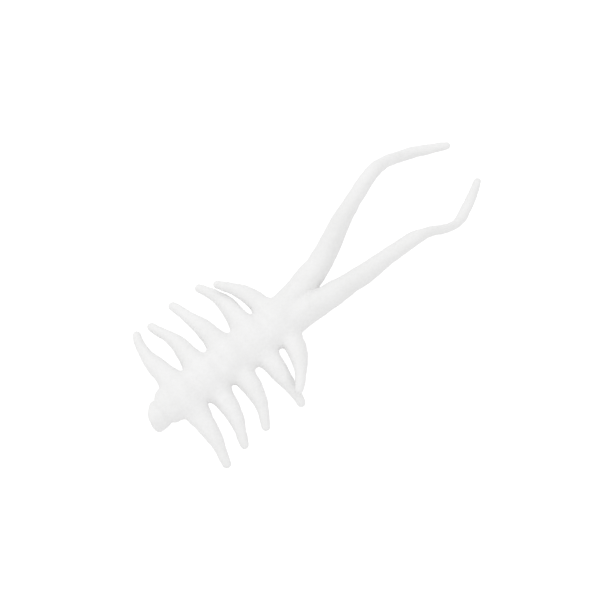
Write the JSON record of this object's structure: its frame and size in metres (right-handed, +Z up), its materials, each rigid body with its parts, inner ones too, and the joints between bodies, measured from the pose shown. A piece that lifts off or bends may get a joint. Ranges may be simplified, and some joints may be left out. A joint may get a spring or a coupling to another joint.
{
  "type": "soft creature figure",
  "caption": "Many-legged soft creature in white soft plastic: lobed body, curved side legs, blunt round head knob and long bent arms raised from the other end.",
  "frame": {"origin": "centre of the flat end face of the head knob, on the body's middle line", "axes": "+X along the body from the head knob to the arms, +Y the creature's left, +Z up from the flat belly"},
  "size_m": [0.1028, 0.0425, 0.0238],
  "materials": {
    "soft_white": "matte"
  },
  "bodies": {
    "body_segment_3": {"body_segment_3": "soft_white"},
    "body_segment_2": {"body_segment_2": "soft_white", "spine_flex_23": "soft_white"},
    "body_segment_1": {"body_segment_1": "soft_white", "spine_flex_12": "soft_white"},
    "head": {"head_knob": "soft_white", "neck": "soft_white", "neck_flex": "soft_white"},
    "body_segment_4": {"body_segment_4": "soft_white", "spine_flex_34": "soft_white"},
    "body_segment_5": {"body_segment_5": "soft_white", "shoulder_block": "soft_white", "spine_flex_45": "soft_white"},
    "leg_left_1": {"leg_left_1": "soft_white", "leg_root_left_1": "soft_white"},
    "leg_right_1": {"leg_right_1": "soft_white", "leg_root_right_1": "soft_white"},
    "leg_left_2": {"leg_left_2": "soft_white", "leg_root_left_2": "soft_white"},
    "leg_right_2": {"leg_right_2": "soft_white", "leg_root_right_2": "soft_white"},
    "leg_left_3": {"leg_left_3": "soft_white", "leg_root_left_3": "soft_white"},
    "leg_right_3": {"leg_right_3": "soft_white", "leg_root_right_3": "soft_white"},
    "leg_left_4": {"leg_left_4": "soft_white", "leg_root_left_4": "soft_white"},
    "leg_right_4": {"leg_right_4": "soft_white", "leg_root_right_4": "soft_white"},
    "leg_left_5": {"leg_left_5": "soft_white", "leg_root_left_5": "soft_white"},
    "leg_right_5": {"leg_right_5": "soft_white", "leg_root_right_5": "soft_white"},
    "arm_left_upper": {"arm_left_upper": "soft_white", "arm_left_shoulder_flex": "soft_white"},
    "arm_left_fore": {"arm_left_fore": "soft_white", "arm_left_elbow_flex": "soft_white"},
    "arm_left_tip": {"arm_left_tip": "soft_white", "arm_left_wrist_flex": "soft_white"},
    "arm_right_upper": {"arm_right_upper": "soft_white", "arm_right_shoulder_flex": "soft_white"},
    "arm_right_fore": {"arm_right_fore": "soft_white", "arm_right_elbow_flex": "soft_white"},
    "arm_right_tip": {"arm_right_tip": "soft_white", "arm_right_wrist_flex": "soft_white"}
  },
  "joints": [
    {"name": "neck_bend", "type": "hinge", "parent": "body_segment_1", "child": "head", "pos_m": [0.0061, 0, 0], "axis": [0, 1, 0], "range_deg": [-8, 14], "stiffness_Nm_per_rad": 0.01, "deforming": ["neck_flex"]},
    {"name": "body_bend_12", "type": "hinge", "parent": "body_segment_2", "child": "body_segment_1", "pos_m": [0.0145, 0, 0], "axis": [0, 1, 0], "range_deg": [0, 10], "stiffness_Nm_per_rad": 0.05, "deforming": ["spine_flex_12"]},
    {"name": "body_bend_23", "type": "hinge", "parent": "body_segment_3", "child": "body_segment_2", "pos_m": [0.022, 0, 0], "axis": [0, 1, 0], "range_deg": [0, 10], "stiffness_Nm_per_rad": 0.05, "deforming": ["spine_flex_23"]},
    {"name": "body_bend_34", "type": "hinge", "parent": "body_segment_3", "child": "body_segment_4", "pos_m": [0.0295, 0, 0], "axis": [0, -1, 0], "range_deg": [0, 10], "stiffness_Nm_per_rad": 0.05, "deforming": ["spine_flex_34"]},
    {"name": "body_bend_45", "type": "hinge", "parent": "body_segment_4", "child": "body_segment_5", "pos_m": [0.037, 0, 0], "axis": [0, -1, 0], "range_deg": [0, 10], "stiffness_Nm_per_rad": 0.05, "deforming": ["spine_flex_45"]},
    {"name": "leg_left_1_lift", "type": "hinge", "parent": "body_segment_1", "child": "leg_left_1", "pos_m": [0.01025, 0.0089, -0.0001], "axis": [0.9925, 0.1221, 0], "range_deg": [-5, 35], "stiffness_Nm_per_rad": 0.002, "deforming": ["leg_root_left_1"]},
    {"name": "leg_right_1_lift", "type": "hinge", "parent": "body_segment_1", "child": "leg_right_1", "pos_m": [0.01023, -0.0089, -0.00009], "axis": [-0.9964, 0.0843, 0], "range_deg": [-5, 35], "stiffness_Nm_per_rad": 0.002, "deforming": ["leg_root_right_1"]},
    {"name": "leg_left_2_lift", "type": "hinge", "parent": "body_segment_2", "child": "leg_left_2", "pos_m": [0.01787, 0.00884, -0.0001], "axis": [0.9988, -0.0487, 0], "range_deg": [-5, 35], "stiffness_Nm_per_rad": 0.002, "deforming": ["leg_root_left_2"]},
    {"name": "leg_right_2_lift", "type": "hinge", "parent": "body_segment_2", "child": "leg_right_2", "pos_m": [0.01749, -0.00889, -0.00011], "axis": [-0.9946, 0.1041, 0], "range_deg": [-5, 35], "stiffness_Nm_per_rad": 0.002, "deforming": ["leg_root_right_2"]},
    {"name": "leg_left_3_lift", "type": "hinge", "parent": "body_segment_3", "child": "leg_left_3", "pos_m": [0.02534, 0.00888, 0.00008], "axis": [0.9939, 0.1099, 0], "range_deg": [-5, 35], "stiffness_Nm_per_rad": 0.002, "deforming": ["leg_root_left_3"]},
    {"name": "leg_right_3_lift", "type": "hinge", "parent": "body_segment_3", "child": "leg_right_3", "pos_m": [0.0248, -0.00887, 0.00008], "axis": [-0.9946, 0.1042, 0], "range_deg": [-5, 35], "stiffness_Nm_per_rad": 0.002, "deforming": ["leg_root_right_3"]},
    {"name": "leg_left_4_lift", "type": "hinge", "parent": "body_segment_4", "child": "leg_left_4", "pos_m": [0.03349, 0.00892, -0.00019], "axis": [0.9965, -0.0831, 0], "range_deg": [-4, 10], "stiffness_Nm_per_rad": 0.002, "deforming": ["leg_root_left_4"]},
    {"name": "leg_right_4_lift", "type": "hinge", "parent": "body_segment_4", "child": "leg_right_4", "pos_m": [0.03255, -0.00891, -0.00023], "axis": [-0.9971, 0.0756, 0], "range_deg": [-4, 10], "stiffness_Nm_per_rad": 0.002, "deforming": ["leg_root_right_4"]},
    {"name": "leg_left_5_lift", "type": "hinge", "parent": "body_segment_5", "child": "leg_left_5", "pos_m": [0.03954, 0.00878, 0.00087], "axis": [0.9692, 0.2463, 0], "range_deg": [-3, 35], "stiffness_Nm_per_rad": 0.002, "deforming": ["leg_root_left_5"]},
    {"name": "leg_right_5_lift", "type": "hinge", "parent": "body_segment_5", "child": "leg_right_5", "pos_m": [0.03921, -0.00885, 0.00083], "axis": [-0.9294, 0.369, 0], "range_deg": [-3, 35], "stiffness_Nm_per_rad": 0.002, "deforming": ["leg_root_right_5"]},
    {"name": "arm_left_shoulder", "type": "hinge", "parent": "body_segment_5", "child": "arm_left_upper", "pos_m": [0.05705, 0.00411, 0.00419], "axis": [0.2291, -0.9734, 0], "range_deg": [-10, 20], "stiffness_Nm_per_rad": 0.01, "deforming": ["arm_left_shoulder_flex"]},
    {"name": "arm_left_elbow", "type": "hinge", "parent": "arm_left_upper", "child": "arm_left_fore", "pos_m": [0.08024, 0.0107, 0.0171], "axis": [0.2152, -0.9766, 0], "range_deg": [-10, 35], "stiffness_Nm_per_rad": 0.002, "deforming": ["arm_left_elbow_flex"]},
    {"name": "arm_left_wrist", "type": "hinge", "parent": "arm_left_fore", "child": "arm_left_tip", "pos_m": [0.09095, 0.01134, 0.01137], "axis": [-0.3341, -0.7889, -0.5157], "range_deg": [-12, 20], "stiffness_Nm_per_rad": 0.0006, "deforming": ["arm_left_wrist_flex"]},
    {"name": "arm_right_shoulder", "type": "hinge", "parent": "body_segment_5", "child": "arm_right_upper", "pos_m": [0.0568, -0.0046, 0.00501], "axis": [-0.2347, -0.9721, 0], "range_deg": [-10, 20], "stiffness_Nm_per_rad": 0.01, "deforming": ["arm_right_shoulder_flex"]},
    {"name": "arm_right_elbow", "type": "hinge", "parent": "arm_right_upper", "child": "arm_right_fore", "pos_m": [0.07879, -0.01031, 0.0171], "axis": [-0.2415, -0.9704, 0], "range_deg": [-10, 35], "stiffness_Nm_per_rad": 0.002, "deforming": ["arm_right_elbow_flex"]},
    {"name": "arm_right_wrist", "type": "hinge", "parent": "arm_right_fore", "child": "arm_right_tip", "pos_m": [0.08881, -0.01162, 0.01137], "axis": [0.3584, -0.6743, 0.6457], "range_deg": [-12, 20], "stiffness_Nm_per_rad": 0.0006, "deforming": ["arm_right_wrist_flex"]}
  ]
}
